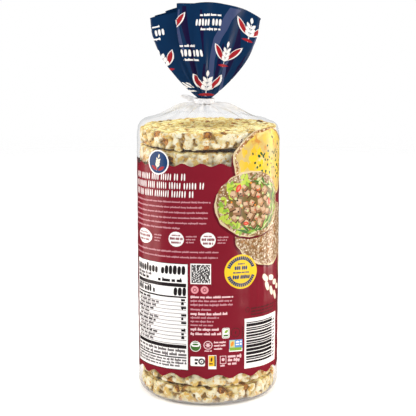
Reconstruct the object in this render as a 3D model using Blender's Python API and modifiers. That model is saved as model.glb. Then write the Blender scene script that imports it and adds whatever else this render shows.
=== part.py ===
"""A printed film bag of puffed rice cakes, in metres, standing on its base with +Z up.

The bag is one tube of film round a stack of cakes. It has a flat base, a straight wall,
pleated shoulders drawn in over the top cake, a tight neck and an open frill above it.
A tape goes round the neck, its two ends stuck together as a flag.
"""

import math

import bmesh
import bpy
from mathutils import Vector

# The stack of cakes sets the size of the bag.
CAKE_COUNT = 15
CAKE_PITCH = 0.0125
STACK_HEIGHT = CAKE_COUNT * CAKE_PITCH
BAG_RADIUS = 0.050

# The wall stands on a rounded corner, and the print covers its middle.
CORNER_RADIUS = 0.0075
WALL_TOP = STACK_HEIGHT - 0.008
PRINT_BOTTOM = 0.0215
PRINT_TOP = 0.167

# Shoulder knots, as radius and height above the stack, from the wall to the neck.
SHOULDER = (
    (0.0500, -0.0080),
    (0.0495, -0.0030),
    (0.0482, 0.0018),
    (0.0450, 0.0048),
    (0.0395, 0.0063),
    (0.0330, 0.0080),
    (0.0262, 0.0107),
    (0.0200, 0.0132),
    (0.0140, 0.0147),
    (0.0090, 0.0151),
    (0.0062, 0.0152),
)
SHOULDER_RINGS = 16
PLEATS = 14
PLEAT_HEIGHT = 0.0019
PLEAT_START_RADIUS = 0.046
PLEAT_PEAK_RADIUS = 0.016

# The shoulder hangs lower on the right, most of all at this radius.
DROOP = 0.0018
DROOP_RADIUS = 0.039
DROOP_WIDTH = 0.012

# The neck is the tight bundle of film inside the tape, a little left of the bag's axis.
NECK_SHIFT = -0.0024
NECK_RADIUS = 0.0044
NECK_FLUTE = 0.0004
NECK_BOTTOM = STACK_HEIGHT + 0.0158
NECK_TOP = STACK_HEIGHT + 0.0195

# The frill spreads from the neck in layered folds. These knots are its cut edge: x, y and
# height above the neck, from the left edge of the front panel round by the right.
FRILL_EDGE = (
    (-0.0218, -0.0120, 0.0646),
    (-0.0125, -0.0098, 0.0648),
    (-0.0035, -0.0138, 0.0648),
    (0.0060, -0.0112, 0.0649),
    (0.0155, -0.0128, 0.0634),
    (0.0255, -0.0088, 0.0602),
    (0.0352, -0.0060, 0.0542),
    (0.0190, -0.0030, 0.0600),
    (0.0345, 0.0004, 0.0535),
    (0.0180, 0.0036, 0.0605),
    (0.0318, 0.0074, 0.0555),
    (0.0160, 0.0098, 0.0625),
    (0.0020, 0.0128, 0.0652),
    (-0.0120, 0.0108, 0.0640),
    (-0.0300, 0.0088, 0.0590),
    (-0.0170, 0.0056, 0.0615),
    (-0.0372, 0.0024, 0.0562),
    (-0.0200, -0.0008, 0.0605),
    (-0.0388, -0.0050, 0.0548),
    (-0.0160, -0.0088, 0.0610),
)
FRILL_FRONT_KNOT = 2
FRILL_TOP = 0.0655
FRILL_FLARE = 2.4
FRILL_STRAIGHT = 0.15
FRILL_RIPPLE = 0.0009
FRILL_RINGS = 12

# The open mouth between the frill's front and back panels tapers to a blunt bottom.
MOUTH_HALF_WIDTH = 0.0130
MOUTH_HALF_DEPTH = 0.0072
MOUTH_DEPTH = 0.0400
MOUTH_TAPER = 0.40
MOUTH_SIDES = 32

# The tape is a band round the neck, and its flag points left and a little to the back.
TAPE_GAP = 0.0004
TAPE_THICKNESS = 0.0016
TAPE_BOTTOM = NECK_BOTTOM + 0.0001
TAPE_TOP = NECK_TOP - 0.0001
FLAG_LENGTH = 0.0122
FLAG_THICKNESS = 0.0009
FLAG_POINT = 0.0060
FLAG_RISE = 0.0021
FLAG_HEADING = math.radians(-104)

COLUMNS_PER_KNOT = 6
COLUMNS = COLUMNS_PER_KNOT * len(FRILL_EDGE)
CORNER_RINGS = 5

STRAW = (0.66, 0.50, 0.24)
MAROON = (0.25, 0.016, 0.030)
NAVY = (0.008, 0.045, 0.120)
WHITE = (0.80, 0.80, 0.80)


def clear_scene():
    for obj in list(bpy.data.objects):
        bpy.data.objects.remove(obj, do_unlink=True)


def principled(name, colour, roughness):
    """A plain Principled material in one colour."""
    material = bpy.data.materials.new(name)
    material.use_nodes = True
    shader = material.node_tree.nodes["Principled BSDF"]
    shader.inputs["Base Color"].default_value = (*colour, 1.0)
    shader.inputs["Roughness"].default_value = roughness
    shader.inputs["Metallic"].default_value = 0.0
    return material


def smooth(share):
    """Eases from 0 to 1 as share goes from 0 to 1."""
    share = min(1.0, max(0.0, share))
    return share * share * (3 - 2 * share)


def spline(before, a, b, after, f):
    """The point at f, from 0 to 1, on the Catmull-Rom curve from a to b."""
    straight = (b - before) * f
    bend = (2 * before - 5 * a + 4 * b - after) * f**2
    twist = (3 * a - before - 3 * b + after) * f**3
    return 0.5 * (2 * a + straight + bend + twist)


def along(knots, t):
    """The point at t, from 0 to 1, on the open curve through the knots."""
    place = t * (len(knots) - 1)
    start = min(int(place), len(knots) - 2)
    near = (Vector(knots[min(max(start + k, 0), len(knots) - 1)]) for k in (-1, 0, 1, 2))
    return spline(*near, place - start)


def around(knots, place):
    """The point at place, counted in knots, on the closed curve through the knots."""
    start = math.floor(place)
    near = (Vector(knots[(start + k) % len(knots)]) for k in (-1, 0, 1, 2))
    return spline(*near, place - start)


def round_point(radius, angle, height):
    """A point on a circle about the bag's axis. Angle 0 faces the front, -Y."""
    return Vector((radius * math.sin(angle), -radius * math.cos(angle), height))


def pleat(angle):
    """The unevenly spaced gathers round the neck, from -1 in a valley to 1 on a ridge."""
    uneven = angle + 0.20 * math.sin(2 * angle + 0.6) + 0.07 * math.sin(5 * angle + 2.0)
    return 0.75 * math.cos(PLEATS * uneven) + 0.25 * math.cos(PLEATS / 2 * uneven + 1.3)


def angles():
    return [2 * math.pi * k / COLUMNS for k in range(COLUMNS)]


def round_ring(radius, height):
    return [round_point(radius, a, height) for a in angles()]


def base_rings():
    """From the flat base round the corner to the foot of the wall."""
    flat = BAG_RADIUS - CORNER_RADIUS
    rings = []
    for k in range(CORNER_RINGS + 1):
        turn = math.pi / 2 * k / CORNER_RINGS
        rings.append(round_ring(flat + CORNER_RADIUS * math.sin(turn), CORNER_RADIUS * (1 - math.cos(turn))))
    return rings


def drawn_in(radius):
    """How far the shoulder is drawn in at a radius: 0 by the wall and 1 at the neck."""
    return smooth((PLEAT_START_RADIUS - radius) / (PLEAT_START_RADIUS - SHOULDER[-1][0]))


def droop(radius, angle):
    """How much lower the shoulder hangs, all on the right."""
    right = (0.5 + 0.5 * math.sin(angle)) ** 2
    return DROOP * right * math.exp(-(((radius - DROOP_RADIUS) / DROOP_WIDTH) ** 2))


def shoulder_point(radius, angle, height):
    """A point of the shoulder, drawn over towards the neck and drooping on the right."""
    point = round_point(radius, angle, height - droop(radius, angle))
    return point + Vector((NECK_SHIFT * drawn_in(radius), 0, 0))


def shoulder_rings():
    """From the top of the wall in to the neck, with pleats that grow towards it."""
    rings = []
    for k in range(1, SHOULDER_RINGS + 1):
        radius, rise = along(SHOULDER, k / SHOULDER_RINGS)
        grown = smooth((PLEAT_START_RADIUS - radius) / (PLEAT_START_RADIUS - PLEAT_PEAK_RADIUS))
        height = PLEAT_HEIGHT * grown * smooth(radius / PLEAT_PEAK_RADIUS)
        rings.append([shoulder_point(radius, a, STACK_HEIGHT + rise + height * pleat(a)) for a in angles()])
    return rings


def neck_point(angle, height):
    """A point on the tight bundle of film at the neck."""
    return round_point(NECK_RADIUS + NECK_FLUTE * pleat(angle), angle, height) + Vector((NECK_SHIFT, 0, 0))


def neck_rings():
    heights = (NECK_BOTTOM, (NECK_BOTTOM + NECK_TOP) / 2, NECK_TOP)
    return [[neck_point(a, height) for a in angles()] for height in heights]


def frill_point(column, t):
    """A point on the frill at t from 0 at the neck to 1 at the cut edge."""
    angle = 2 * math.pi * column / COLUMNS
    edge = around(FRILL_EDGE, FRILL_FRONT_KNOT + column / COLUMNS_PER_KNOT)
    neck = neck_point(angle, NECK_TOP)
    spread = (1 - FRILL_STRAIGHT) * (1 - (1 - t) ** FRILL_FLARE) + FRILL_STRAIGHT * t
    ripple = FRILL_RIPPLE * 4 * t * (1 - t) * pleat(angle)
    across = neck.xy.lerp(edge.xy, spread) + ripple * edge.xy.normalized()
    return Vector((*across, NECK_TOP + t * edge.z))


def frill_rings():
    heights = [k / FRILL_RINGS for k in range(1, FRILL_RINGS + 1)]
    return [[frill_point(column, t) for column in range(COLUMNS)] for t in heights]


def loft(name, bands, collection):
    """A closed solid through rings of equal length. Each band is its rings and their material."""
    mesh = bmesh.new()
    rings, slots = [], []
    for slot, (band, _) in enumerate(bands):
        for ring in band:
            rings.append([mesh.verts.new(point) for point in ring])
            slots.append(slot)
    for slot, low, high in zip(slots[1:], rings, rings[1:]):
        for k in range(COLUMNS):
            nxt = (k + 1) % COLUMNS
            mesh.faces.new((low[k], low[nxt], high[nxt], high[k])).material_index = slot
    mesh.faces.new(list(reversed(rings[0])))
    mesh.faces.new(rings[-1]).material_index = slots[-1]
    bmesh.ops.triangulate(mesh, faces=[f for f in mesh.faces if len(f.verts) > 4])
    data = bpy.data.meshes.new(name)
    mesh.to_mesh(data)
    mesh.free()
    for _, material in bands:
        data.materials.append(material)
    obj = bpy.data.objects.new(name, data)
    collection.objects.link(obj)
    return obj


def mouth_cutter(collection):
    """The open space between the frill's front and back panels, as a solid to cut out."""
    mesh = bmesh.new()
    bmesh.ops.create_cone(
        mesh,
        cap_ends=True,
        segments=MOUTH_SIDES,
        radius1=MOUTH_TAPER,
        radius2=1.0,
        depth=1.0,
    )
    data = bpy.data.meshes.new("frill_mouth")
    mesh.to_mesh(data)
    mesh.free()
    cutter = bpy.data.objects.new("frill_mouth", data)
    cutter.location = (0, 0, NECK_TOP + FRILL_TOP - MOUTH_DEPTH / 2)
    cutter.scale = (MOUTH_HALF_WIDTH, MOUTH_HALF_DEPTH, MOUTH_DEPTH)
    cutter.hide_render = True
    cutter.display_type = "WIRE"
    collection.objects.link(cutter)
    return cutter


def shade(obj):
    obj.data.shade_smooth()
    obj.data.set_sharp_from_angle(angle=math.radians(50))


def make_bag(collection, helpers):
    """The whole bag as one solid, with the colours of its bands."""
    clear = principled("clear_film_over_cakes", STRAW, 0.45)
    maroon = principled("maroon_print", MAROON, 0.30)
    navy = principled("navy_print", NAVY, 0.30)
    bands = (
        (base_rings() + [round_ring(BAG_RADIUS, PRINT_BOTTOM)], clear),
        ([round_ring(BAG_RADIUS, PRINT_TOP)], maroon),
        ([round_ring(BAG_RADIUS, WALL_TOP)] + shoulder_rings() + neck_rings(), clear),
        (frill_rings(), navy),
    )
    bag = loft("bag", bands, collection)
    shade(bag)
    cut = bag.modifiers.new("mouth", "BOOLEAN")
    cut.operation = "DIFFERENCE"
    cut.object = mouth_cutter(helpers)
    return bag


def tape_band(material, collection):
    """A turned band of rectangular section round the neck."""
    inner = NECK_RADIUS + NECK_FLUTE + TAPE_GAP
    outer = inner + TAPE_THICKNESS
    corners = ((outer, TAPE_TOP), (outer, TAPE_BOTTOM), (inner, TAPE_BOTTOM), (inner, TAPE_TOP))
    data = bpy.data.meshes.new("neck_tape")
    data.from_pydata([(r, 0, z) for r, z in corners], [(k, (k + 1) % 4) for k in range(4)], [])
    data.materials.append(material)
    band = bpy.data.objects.new("neck_tape", data)
    band.location.x = NECK_SHIFT
    collection.objects.link(band)
    screw = band.modifiers.new("turn", "SCREW")
    screw.angle = 2 * math.pi
    screw.steps = screw.render_steps = 32
    screw.use_merge_vertices = True
    screw.merge_threshold = 0.00001
    return band


def tape_flag(collection):
    """The two ends of the tape stuck together: a flat strip with a pointed end, off the neck."""
    start = NECK_RADIUS + NECK_FLUTE + TAPE_GAP + TAPE_THICKNESS / 2
    end = start + FLAG_LENGTH
    middle = (TAPE_BOTTOM + TAPE_TOP) / 2
    outline = (
        (start, TAPE_BOTTOM),
        (end - FLAG_POINT, TAPE_BOTTOM + FLAG_RISE),
        (end, middle + FLAG_RISE + FLAG_THICKNESS),
        (end - FLAG_POINT / 3, TAPE_TOP + FLAG_RISE),
        (end - FLAG_POINT, TAPE_TOP + FLAG_RISE),
        (start, TAPE_TOP),
    )
    curve = bpy.data.curves.new("tape_flag", "CURVE")
    curve.dimensions = "2D"
    curve.fill_mode = "BOTH"
    curve.extrude = FLAG_THICKNESS / 2
    spline = curve.splines.new("POLY")
    spline.points.add(len(outline) - 1)
    for point, (x, y) in zip(spline.points, outline):
        point.co = (x, y, 0, 1)
    spline.use_cyclic_u = True
    flat = bpy.data.objects.new("tape_flag_outline", curve)
    collection.objects.link(flat)
    flat.rotation_euler = (math.pi / 2, 0, FLAG_HEADING - math.pi / 2)
    bpy.context.view_layer.update()
    data = bpy.data.meshes.new_from_object(flat.evaluated_get(bpy.context.evaluated_depsgraph_get()))
    mesh = bmesh.new()
    mesh.from_mesh(data)
    bmesh.ops.remove_doubles(mesh, verts=mesh.verts, dist=0.00001)
    mesh.to_mesh(data)
    mesh.free()
    flag = bpy.data.objects.new("tape_flag", data)
    flag.matrix_world = flat.matrix_world
    flag.location.x += NECK_SHIFT
    collection.objects.link(flag)
    bpy.data.objects.remove(flat)
    flag.hide_render = True
    flag.display_type = "WIRE"
    return flag


def make_tape(collection, helpers):
    """The band and its flag, joined as one solid."""
    band = tape_band(principled("white_tape", WHITE, 0.40), collection)
    join = band.modifiers.new("flag", "BOOLEAN")
    join.operation = "UNION"
    join.object = tape_flag(helpers)
    return band


def main():
    clear_scene()
    parts = bpy.data.collections.new("rice_cake_pack")
    helpers = bpy.data.collections.new("helpers")
    bpy.context.scene.collection.children.link(parts)
    bpy.context.scene.collection.children.link(helpers)
    make_bag(parts, helpers)
    make_tape(parts, helpers)


main()
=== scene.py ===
"""The looks of a bag of puffed rice cakes: printed film, the cakes inside and the neck tape.

Lengths are in millimetres until a mesh is made. The film is laid out flat: u runs round
the bag from the middle of the front, to the right, and v runs up the film. On the
straight wall v is the height above the floor.
"""

import math
import random

import bmesh
import bpy
import numpy as np
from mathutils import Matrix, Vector
from mathutils.geometry import delaunay_2d_cdt
from mathutils.kdtree import KDTree


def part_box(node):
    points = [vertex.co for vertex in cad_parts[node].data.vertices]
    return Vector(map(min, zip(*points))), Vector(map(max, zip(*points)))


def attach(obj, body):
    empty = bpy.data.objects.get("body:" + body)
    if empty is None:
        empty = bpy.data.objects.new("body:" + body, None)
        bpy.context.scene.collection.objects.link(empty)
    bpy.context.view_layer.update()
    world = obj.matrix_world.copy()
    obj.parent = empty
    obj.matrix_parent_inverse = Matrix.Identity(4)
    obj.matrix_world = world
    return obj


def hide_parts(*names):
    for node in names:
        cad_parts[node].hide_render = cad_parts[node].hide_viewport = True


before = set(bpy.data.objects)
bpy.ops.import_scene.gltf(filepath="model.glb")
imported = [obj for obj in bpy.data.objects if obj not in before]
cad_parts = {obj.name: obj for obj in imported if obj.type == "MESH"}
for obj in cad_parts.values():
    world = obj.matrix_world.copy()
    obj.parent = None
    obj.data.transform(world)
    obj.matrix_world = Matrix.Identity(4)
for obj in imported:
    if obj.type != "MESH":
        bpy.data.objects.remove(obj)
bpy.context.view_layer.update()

BAG_LOW, BAG_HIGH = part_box("bag")
MM = 0.001

# The film's own form, as the solid has it: the stack, the wall, the shoulder as radius and
# height above the stack, its pleats, how it droops on the right, and the neck.
RADIUS = (BAG_HIGH.x - BAG_LOW.x) / 2 / MM
GIRTH = 2 * math.pi * RADIUS
CAKE_COUNT = 15
CAKE_PITCH = 12.5
STACK_HEIGHT = CAKE_COUNT * CAKE_PITCH
CORNER_RADIUS = 7.5
WALL_TOP = STACK_HEIGHT - 8.0
SHOULDER = (
    (50.0, -8.0),
    (49.5, -3.0),
    (48.2, 1.8),
    (45.0, 4.8),
    (39.5, 6.3),
    (33.0, 8.0),
    (26.2, 10.7),
    (20.0, 13.2),
    (14.0, 14.7),
    (9.0, 15.1),
    (6.2, 15.2),
)
PLEATS = 14
PLEAT_HEIGHT = 1.9
PLEAT_START_RADIUS = 46.0
PLEAT_PEAK_RADIUS = 16.0
FINE_PLEAT = 0.35
RIM_WAVINESS = 0.5
DROOP = 1.8
DROOP_RADIUS = 39.0
DROOP_WIDTH = 12.0
NECK_SHIFT = -2.4
NECK_RADIUS = 4.4
NECK_FLUTE = 0.4
NECK_BOTTOM = STACK_HEIGHT + 15.8
NECK_TOP = STACK_HEIGHT + 19.5

# The frill's cut edge, as knots of x, y and height above the neck, and how it opens.
FRILL_EDGE = (
    (-21.8, -12.0, 64.6),
    (-12.5, -9.8, 64.8),
    (-3.5, -13.8, 64.8),
    (6.0, -11.2, 64.9),
    (15.5, -12.8, 63.4),
    (25.5, -8.8, 60.2),
    (35.2, -6.0, 54.2),
    (19.0, -3.0, 60.0),
    (34.5, 0.4, 53.5),
    (18.0, 3.6, 60.5),
    (31.8, 7.4, 55.5),
    (16.0, 9.8, 62.5),
    (2.0, 12.8, 65.2),
    (-12.0, 10.8, 64.0),
    (-30.0, 8.8, 59.0),
    (-17.0, 5.6, 61.5),
    (-37.2, 2.4, 56.2),
    (-20.0, -0.8, 60.5),
    (-38.8, -5.0, 54.8),
    (-16.0, -8.8, 61.0),
)
FRILL_FRONT_KNOT = 2
FRILL_FRONT_LAST = 6
FRILL_SAMPLES = 1201
FRILL_LENGTH = 66.0
FRILL_FLARE = 2.4
FRILL_STRAIGHT = 0.15
FRILL_RIPPLE = 0.9

# How high the frill rises in front, and how wide a motif there looks against the flat film.
FRILL_RISE = 64.0
FRILL_DENSITY = 0.91

# Painted highlights and painted shade of the folds, as light and dark bands on the frill's front: x, rise and
# half width.
FRILL_PAINTED_HIGHLIGHTS = (
    ((18.6, 62.5, 3.6), (13.6, 55, 3.1), (10.1, 47, 2.9), (6.6, 41, 2.6), (4.2, 34, 1.9), (2.3, 26, 1.4),
     (1.4, 18, 1.3), (0.8, 8, 1.0)),
    ((14.0, 27, 0.3), (11.5, 23.5, 0.8), (8.6, 15, 0.7), (4.5, 6, 0.4)),
    ((34.3, 53, 0.7), (32.0, 45, 1.3), (29.0, 36, 0.8), (25.5, 29, 0.2)),
    ((-19.8, 60, 0.5), (-20.3, 48, 1.4), (-17.5, 38, 1.1), (-14.5, 31, 0.3)),
)
FRILL_PAINTED_SHADE = (
    ((-16.5, 62, 1.2), (-16.0, 50, 2.0), (-13.0, 38, 1.4), (-10.0, 30, 0.4)),
    ((-8.5, 34, 0.5), (-10.5, 26, 1.6), (-7.5, 16, 1.5), (-4.2, 7, 0.8)),
    ((-5.0, 60, 0.6), (-4.5, 48, 1.4), (-4.0, 40, 0.8), (-3.2, 30, 0.3)),
    ((-2.5, 24, 0.5), (-3.0, 16, 1.0), (-2.8, 7, 0.8)),
    ((10.5, 38, 0.4), (7.5, 29, 1.2), (4.6, 17, 1.0), (2.2, 7, 0.6)),
    ((21.5, 50, 0.6), (20.0, 38, 1.8), (14.5, 26, 1.5), (9.0, 15, 0.8)),
    ((24.5, 33, 0.3), (19.5, 24, 1.0), (12.0, 13, 0.6)),
)

# The base is a little hollow, so that it stands on a ring.
BASE_HOLLOW = 0.8
BASE_CLEARANCE = 0.05

# Spacing of the film's mesh, round and up, for each stretch of it, and along the print's edges.
COLUMN_STEP = 1.6
BASE_STEP = 4.0
CORNER_STEP = 1.6
WALL_STEP = 2.5
SHOULDER_STEP = 1.3
FRILL_STEP = 1.6
EDGE_STEP = 1.8
CUT_TOLERANCE = 1e-4
MERGE_DISTANCE = 0.00002


def smooth(share):
    """Eases from 0 to 1 as share goes from 0 to 1."""
    share = np.clip(share, 0.0, 1.0)
    return share * share * (3 - 2 * share)


def bell(distance, width):
    """1 at no distance, falling to nothing a few widths away."""
    return np.exp(-((distance / width) ** 2))


def spline(knots, places):
    """Points of the Catmull-Rom curve through the knots, which wrap round, at places in knots."""
    knots = np.array(knots, float)
    start = np.floor(places).astype(int)
    f = (places - start)[:, None]
    before, a, b, after = (knots[(start + k) % len(knots)] for k in (-1, 0, 1, 2))
    bend = (2 * before - 5 * a + 4 * b - after) * f**2
    twist = (3 * a - before - 3 * b + after) * f**3
    return 0.5 * (2 * a + (b - before) * f + bend + twist)


def run_lengths(points):
    """How far along the curve each point lies."""
    steps = np.linalg.norm(np.diff(points, axis=0), axis=1)
    return np.concatenate(([0.0], np.cumsum(steps)))


def profile_table():
    """v, radius and height from the centre of the base up to the top of the neck."""
    flat = RADIUS - CORNER_RADIUS
    inner = np.linspace(0.0, flat, 12)
    base = np.stack((inner, BASE_HOLLOW * (1 - (inner / flat) ** 2)), axis=1)
    turns = np.linspace(0, math.pi / 2, 9)[1:]
    corner = np.stack((flat + CORNER_RADIUS * np.sin(turns), CORNER_RADIUS * (1 - np.cos(turns))), axis=1)
    padded = (SHOULDER[0], *SHOULDER, SHOULDER[-1])
    shoulder = spline(padded, np.linspace(1, len(SHOULDER), 90)) + (0, STACK_HEIGHT)
    neck = np.array(((NECK_RADIUS, NECK_BOTTOM), (NECK_RADIUS, NECK_TOP)))
    points = np.concatenate((base, corner, shoulder, neck))
    v = run_lengths(points)
    wall_foot = len(base) + len(corner) - 1
    v += CORNER_RADIUS - v[wall_foot]
    return v, points[:, 0], np.maximum(points[:, 1], BASE_CLEARANCE)


PROFILE_V, PROFILE_RADIUS, PROFILE_HEIGHT = profile_table()
NECK_TOP_V = PROFILE_V[-1]
FRILL_TOP_V = NECK_TOP_V + FRILL_LENGTH


def edge_table():
    """The frill's cut edge, and u at each of its points, shared out evenly along it."""
    places = FRILL_FRONT_KNOT + np.linspace(-0.5, 0.5, FRILL_SAMPLES) * len(FRILL_EDGE)
    points = spline(FRILL_EDGE, places)
    along = run_lengths(points[:, :2])
    u = (along / along[-1] - np.interp(FRILL_FRONT_KNOT, places, along) / along[-1]) * GIRTH
    return u, points


EDGE_U, EDGE_POINTS = edge_table()


def edge_point(u):
    """The frill's cut edge at u."""
    return np.stack([np.interp(u, EDGE_U, EDGE_POINTS[:, k], period=GIRTH) for k in range(3)], axis=1)


def pleat(angle):
    """The unevenly spaced gathers round the neck, from -1 in a valley to 1 on a ridge."""
    uneven = angle + 0.20 * np.sin(2 * angle + 0.6) + 0.07 * np.sin(5 * angle + 2.0)
    return 0.75 * np.cos(PLEATS * uneven) + 0.25 * np.cos(PLEATS / 2 * uneven + 1.3)


def wall_wrinkle(angle, v):
    """How far the wall stands out: long upright creases, and a slight hollow at each gap."""
    right = bell(angle - 0.82, 0.26) * bell(v - 92, 42)
    left = bell(angle + 0.95, 0.30) * bell(v - 110, 55)
    creases = 0.18 * right * np.sin(46 * angle + 0.8 * np.sin(v / 15))
    creases += 0.14 * left * np.sin(31 * angle + 1.1 * np.sin(v / 22))
    drift = 0.16 * np.sin(9 * angle + 1.2 * np.sin(v / 34)) + 0.08 * np.sin(17 * angle - 0.9 * np.sin(v / 21))
    gaps = 0.07 * np.cos(2 * math.pi * v / CAKE_PITCH)
    return creases + drift - gaps - 0.25


def body_point(u, v):
    """The film from the base's centre to the top of the neck."""
    angle = u / RADIUS
    radius = np.interp(v, PROFILE_V, PROFILE_RADIUS)
    height = np.interp(v, PROFILE_V, PROFILE_HEIGHT)
    above = v > WALL_TOP
    inward = PLEAT_START_RADIUS - radius
    on_wall = smooth((v - 4) / 8) * smooth((STACK_HEIGHT + 4 - v) / 10)
    on_shoulder = smooth(inward / (PLEAT_START_RADIUS - PLEAT_PEAK_RADIUS)) * above
    on_neck = smooth((v - NECK_TOP_V + 6) / 3)
    drawn = smooth(inward / (PLEAT_START_RADIUS - SHOULDER[-1][0])) * above
    lift = PLEAT_HEIGHT * on_shoulder * smooth(radius / PLEAT_PEAK_RADIUS)
    fading = on_shoulder * smooth((radius - NECK_RADIUS) / 9)
    fine = FINE_PLEAT * fading * np.sin(2 * PLEATS * angle + 2 * np.sin(angle + 1))
    rim = RIM_WAVINESS * bell(radius - 44, 5) * above * np.sin(9 * angle + 1.0) * np.sin(4 * angle)
    right = (0.5 + 0.5 * np.sin(angle)) ** 2
    droop = DROOP * right * bell(radius - DROOP_RADIUS, DROOP_WIDTH) * above
    radius = radius + wall_wrinkle(angle, v) * on_wall + NECK_FLUTE * on_neck * pleat(angle)
    height = height + lift * pleat(angle) + fine + rim - droop
    return np.stack((radius * np.sin(angle) + NECK_SHIFT * drawn, -radius * np.cos(angle), height), axis=1)


def frill_spread(t):
    """How far the frill has opened at t, from 0 at the neck to 1 at the cut edge."""
    return (1 - FRILL_STRAIGHT) * (1 - (1 - t) ** FRILL_FLARE) + FRILL_STRAIGHT * t


def frill_point(u, v):
    """The film from the top of the neck to the cut edge."""
    angle = u / RADIUS
    t = np.clip((v - NECK_TOP_V) / FRILL_LENGTH, 0.0, 1.0)
    edge = edge_point(u)
    flat = np.linalg.norm(edge[:, :2], axis=1)[:, None]
    outward = edge[:, :2] / flat
    bundle = NECK_RADIUS + NECK_FLUTE * pleat(angle)
    neck = np.stack((bundle * np.sin(angle) + NECK_SHIFT, -bundle * np.cos(angle)), axis=1)
    spread = frill_spread(t)[:, None]
    ripple = FRILL_RIPPLE * 4 * t * (1 - t) * pleat(angle)
    fine = 0.45 * smooth(t / 0.12) * smooth((0.75 - t) / 0.6) * np.sin(31 * angle + 1.4 * np.sin(3 * angle))
    sway = 0.7 * smooth(t * 1.6) * np.sin(4.4 * t + 3 * angle + 0.8)
    across = neck * (1 - spread) + edge[:, :2] * spread + (ripple + fine + sway)[:, None] * outward
    return np.concatenate((across, (NECK_TOP + t * edge[:, 2])[:, None]), axis=1)


def film_point(u, v):
    """The film at (u, v), as rows of x, y, z in millimetres."""
    body = body_point(u, np.minimum(v, NECK_TOP_V))
    return np.where((v > NECK_TOP_V)[:, None], frill_point(u, np.maximum(v, NECK_TOP_V)), body)


# Print: every shape is an ink and a closed outline in (u, v), and later ones lie on top.
SAG = 3.0
shapes = []


def sagged(point):
    """The wall's print hangs a little lower at both sides than at the front and the back."""
    u, v = point
    drop = SAG * math.sin(u / RADIUS) ** 2 if v < NECK_TOP_V else 0.0
    return u, v - drop


def ink(name, outline, fit=sagged):
    """Adds a shape. Long edges get more points first, so that they follow the film's curve."""
    fine = []
    for (a, b), (c, d) in zip(outline, list(outline[1:]) + [outline[0]]):
        steps = max(1, math.ceil(math.hypot(c - a, d - b) / EDGE_STEP))
        fine += [fit((a + (c - a) * k / steps, b + (d - b) * k / steps)) for k in range(steps)]
    shapes.append((name, fine))


def turn(points, centre, angle):
    """The points turned about the origin, then moved to the centre."""
    c, s = math.cos(angle), math.sin(angle)
    return [(centre[0] + c * x - s * y, centre[1] + s * x + c * y) for x, y in points]


def box(left, low, right, high):
    """A plain rectangle."""
    return [(left, low), (right, low), (right, high), (left, high)]


def rounded_box(left, low, right, high, radius):
    """A box with round corners."""
    corners = ((right - radius, low + radius, -90), (right - radius, high - radius, 0),
               (left + radius, high - radius, 90), (left + radius, low + radius, 180))
    return [
        (x + radius * math.cos(math.radians(start + a)), y + radius * math.sin(math.radians(start + a)))
        for x, y, start in corners
        for a in (0, 30, 60, 90)
    ]


def disc(centre, radius, wobble=0.0, seed=0, stretch=1.0):
    """A circle, or with some stretch an ellipse, and with some wobble the uneven outline of a cake."""
    rng = random.Random(seed)
    waves = [(k, rng.uniform(0, 2 * math.pi), wobble / math.sqrt(k)) for k in (3, 5, 8, 13, 21)]
    count = max(16, int(radius * 3.2))
    outline = []
    for k in range(count):
        a = 2 * math.pi * k / count
        r = radius + sum(size * math.sin(n * a + phase) for n, phase, size in waves)
        outline.append((centre[0] + stretch * r * math.cos(a), centre[1] + r * math.sin(a)))
    return outline


def leaf(centre, length, width, angle):
    """A pointed leaf or a grain."""
    rise = [math.sin(math.pi * k / 6) ** 0.8 for k in range(1, 6)]
    top = [(length * (k / 6 - 0.5), width / 2 * r) for k, r in enumerate(rise, 1)]
    low = [(x, -y) for x, y in reversed(top)]
    return turn([(-length / 2, 0), *low[::-1], (length / 2, 0), *top[::-1]], centre, angle)


def grain_outline(centre, length, width, angle):
    """A plump grain with blunt ends."""
    outline = []
    for k in range(12):
        a = 2 * math.pi * (k + 0.5) / 12
        x, y = math.cos(a), math.sin(a)
        x, y = math.copysign(abs(x) ** 0.75, x), math.copysign(abs(y) ** 0.75, y)
        outline.append((length / 2 * x, width / 2 * y))
    return turn(outline, centre, angle)


def rings(centre, *layers):
    """Discs laid one on another, each given as its ink and radius."""
    for name, radius in layers:
        ink(name, disc(centre, radius))


def chunk(centre, size, rng, corners=6):
    """An uneven cut piece."""
    start = rng.uniform(0, 2 * math.pi)
    outline = []
    for k in range(corners):
        a = start + 2 * math.pi * (k + rng.uniform(-0.12, 0.12)) / corners
        r = size * rng.uniform(0.85, 1.15)
        outline.append((centre[0] + r * math.cos(a), centre[1] + r * math.sin(a)))
    return outline


def wavy_band(low, high):
    """The dark red print round the wall, with a scalloped edge above and below."""
    left, right = -GIRTH / 2, GIRTH / 2
    us = np.linspace(left, right, 241)
    lower = low - 1.45 * np.cos(2 * math.pi * 19 * (us + 1.0) / GIRTH)
    upper = high + 1.05 * np.cos(2 * math.pi * 24 * (us + 4.4) / GIRTH)
    return list(zip(us, lower)) + list(zip(us[::-1], upper[::-1]))


def pegged_bar(rng, left, low, width, height):
    """A bar with a few small pegs above and below, as a word looks from afar."""
    slots = max(1, int(width / (0.85 * height)))
    step, top = width / slots, low + height
    under, over = [], []
    for k in range(slots):
        a, b = left + (k + 0.25) * step, left + (k + 0.8) * step
        if rng.random() < 0.12:
            under += [(a, low), (a, low - 0.45 * height), (b, low - 0.45 * height), (b, low)]
        if rng.random() < 0.32:
            over += [(a, top), (a, top + 0.5 * height), (b, top + 0.5 * height), (b, top)]
    return [(left, low), *under, (left + width, low), (left + width, top), *over[::-1], (left, top)]


def words(name, left, right, middle, height, seed, longest=7.0, fit=sagged):
    """A line of pegged bars, broken as words are."""
    rng = random.Random(seed)
    at = left
    while at < right - height:
        width = min(rng.uniform(0.3, 1.0) * longest, right - at)
        if width > height:
            ink(name, pegged_bar(rng, at, middle - height / 2, width, height), fit)
        at += width + 0.65 * height


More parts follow.
